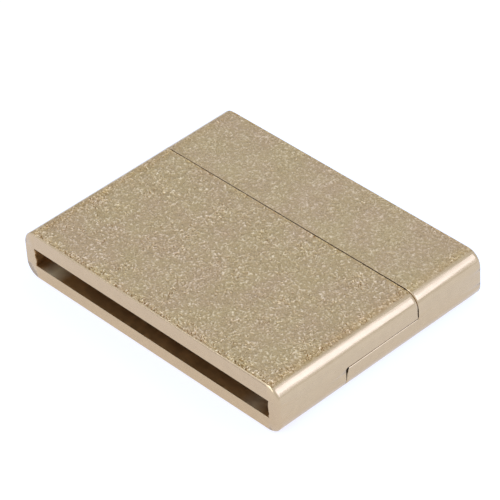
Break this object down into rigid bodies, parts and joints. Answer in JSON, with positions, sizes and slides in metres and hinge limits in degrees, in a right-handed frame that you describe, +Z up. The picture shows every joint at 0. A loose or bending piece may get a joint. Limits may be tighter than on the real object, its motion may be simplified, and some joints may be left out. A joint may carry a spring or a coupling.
{
  "type": "magnetic clasp",
  "caption": "Flat magnetic clasp for a wide flat strap: like halves with overlapping tongues, guide pins and inset disc magnets, and a strap pocket at each end.",
  "frame": {"origin": "middle of the underside of the closed clasp", "axes": "+X across the strap, +Y along the strap towards the lower half's strap pocket, +Z up through the closed clasp"},
  "size_m": [0.034, 0.026, 0.0053],
  "materials": {
    "plated_casting": "matt light gold plating on cast zinc alloy: sandblasted broad faces, satin edges and mating faces, polished pins",
    "magnet_nickel": "dull nickel plating with faint stains"
  },
  "bodies": {
    "lower": {"lower_half": "plated_casting", "lower_magnet": "magnet_nickel"},
    "upper": {"upper_half": "plated_casting", "upper_magnet": "magnet_nickel"}
  },
  "joints": [
    {"name": "pull_apart", "type": "slide", "parent": "lower", "child": "upper", "axis": [0, 0, 1], "range_m": [0, 0.012]}
  ]
}
